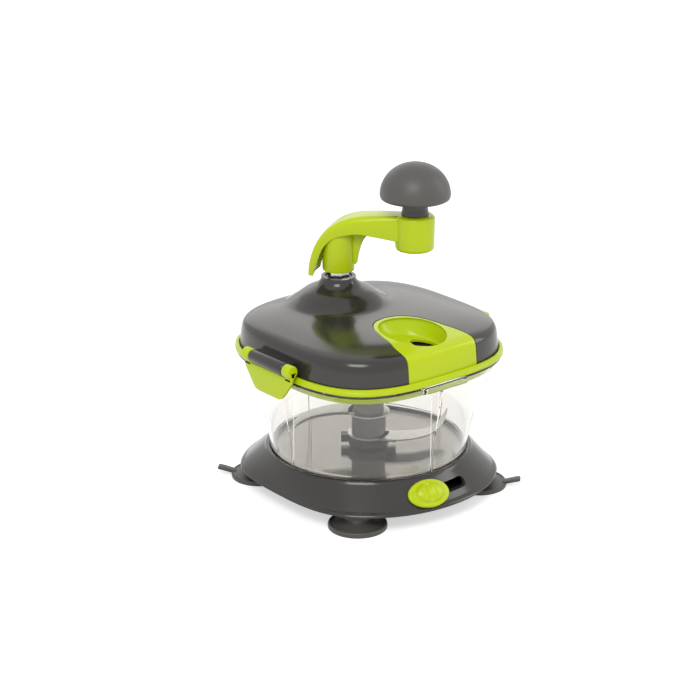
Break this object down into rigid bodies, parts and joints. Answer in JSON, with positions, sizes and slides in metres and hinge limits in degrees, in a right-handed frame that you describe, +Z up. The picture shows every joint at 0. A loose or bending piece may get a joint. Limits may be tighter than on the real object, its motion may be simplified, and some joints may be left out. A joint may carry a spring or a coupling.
{
  "type": "hand crank food chopper",
  "caption": "Hand-crank food chopper: clear bowl with a two-blade unit on a suction-cup base, geared lid with pouring spout, side latches, crank arm and mushroom knob.",
  "frame": {"origin": "centre of the footprint on the plane that the suction cups stand on; the bowl's axis is x = y = 0", "axes": "+Z up along the bowl axis, -Y the front with the pouring spout and slide button, +X to the right"},
  "size_m": [0.199, 0.196, 0.2501],
  "materials": {
    "lime_plastic": "gloss moulded",
    "grey_plastic": "gloss moulded",
    "knob_plastic": "soft matte",
    "clear_plastic": "clear polished",
    "cup_rubber": "satin",
    "seal_rubber": "satin",
    "steel": "polished",
    "gear_plastic": "moulded acetal",
    "dark_inner": "moulded"
  },
  "bodies": {
    "base": {"base_housing": "grey_plastic", "bottom_cover": "dark_inner", "cover_screws": "steel", "suction_cup_front_left": "cup_rubber", "suction_cup_front_right": "cup_rubber", "suction_cup_rear_left": "cup_rubber", "suction_cup_rear_right": "cup_rubber"},
    "slide_lock": {"slide_button": "lime_plastic", "lock_bar": "dark_inner"},
    "bowl_body": {"bowl": "clear_plastic", "pivot_pin": "steel"},
    "blade_unit": {"blade_stem": "knob_plastic", "blade_collar": "dark_inner", "blade_spacer": "knob_plastic", "lower_blade": "steel", "upper_blade": "steel"},
    "lid": {"lid_shell": "grey_plastic", "spout_insert": "lime_plastic", "lid_ring": "lime_plastic", "lid_gasket": "seal_rubber", "lid_liner": "knob_plastic", "liner_screws": "steel", "pour_chute": "grey_plastic", "shaft_bush": "gear_plastic", "pinion_bush": "gear_plastic", "latch_pin_left": "steel", "latch_pin_right": "steel"},
    "crank": {"crank_arm": "lime_plastic", "socket_plug": "lime_plastic", "crank_shaft": "steel", "drive_gear": "gear_plastic", "shaft_washer": "steel", "shaft_screw": "steel", "knob_pin": "steel", "knob_clip": "steel"},
    "knob": {"knob_stem": "knob_plastic", "knob_cap": "knob_plastic"},
    "pinion_body": {"pinion": "gear_plastic", "drive_socket": "knob_plastic"},
    "left_latch": {"latch_left": "lime_plastic"},
    "right_latch": {"latch_right": "lime_plastic"}
  },
  "joints": [
    {"name": "bowl_lift", "type": "slide", "parent": "base", "child": "bowl_body", "axis": [0, 0, 1], "range_m": [0, 0.08]},
    {"name": "lid_lift", "type": "slide", "parent": "bowl_body", "child": "lid", "axis": [0, 0, 1], "range_m": [0, 0.1]},
    {"name": "crank_turn", "type": "hinge", "parent": "lid", "child": "crank", "pos_m": [0, 0.0363, 0.15], "axis": [0, 0, 1], "continuous": true},
    {"name": "knob_turn", "type": "hinge", "parent": "crank", "child": "knob", "pos_m": [0.03596, -0.01048, 0.22], "axis": [0, 0, 1], "continuous": true},
    {"name": "pinion_turn", "type": "hinge", "parent": "lid", "child": "pinion_body", "pos_m": [0, 0, 0.12], "axis": [0, 0, 1], "continuous": true},
    {"name": "blade_turn", "type": "hinge", "parent": "bowl_body", "child": "blade_unit", "pos_m": [0, 0, 0.05], "axis": [0, 0, 1], "continuous": true},
    {"name": "latch_left_hinge", "type": "hinge", "parent": "lid", "child": "left_latch", "pos_m": [-0.0945, 0, 0.1195], "axis": [0, 1, 0], "range_deg": [0, 100]},
    {"name": "latch_right_hinge", "type": "hinge", "parent": "lid", "child": "right_latch", "pos_m": [0.0945, 0, 0.1195], "axis": [0, -1, 0], "range_deg": [0, 100]},
    {"name": "slide_lock_turn", "type": "hinge", "parent": "base", "child": "slide_lock", "pos_m": [0, 0, 0.023], "axis": [0, 0, 1], "range_deg": [0, 19.4]}
  ],
  "couplings": [
    {"joint": "pinion_turn", "follows": "crank_turn", "ratio": -2.6667},
    {"joint": "blade_turn", "follows": "crank_turn", "ratio": -2.6667}
  ]
}
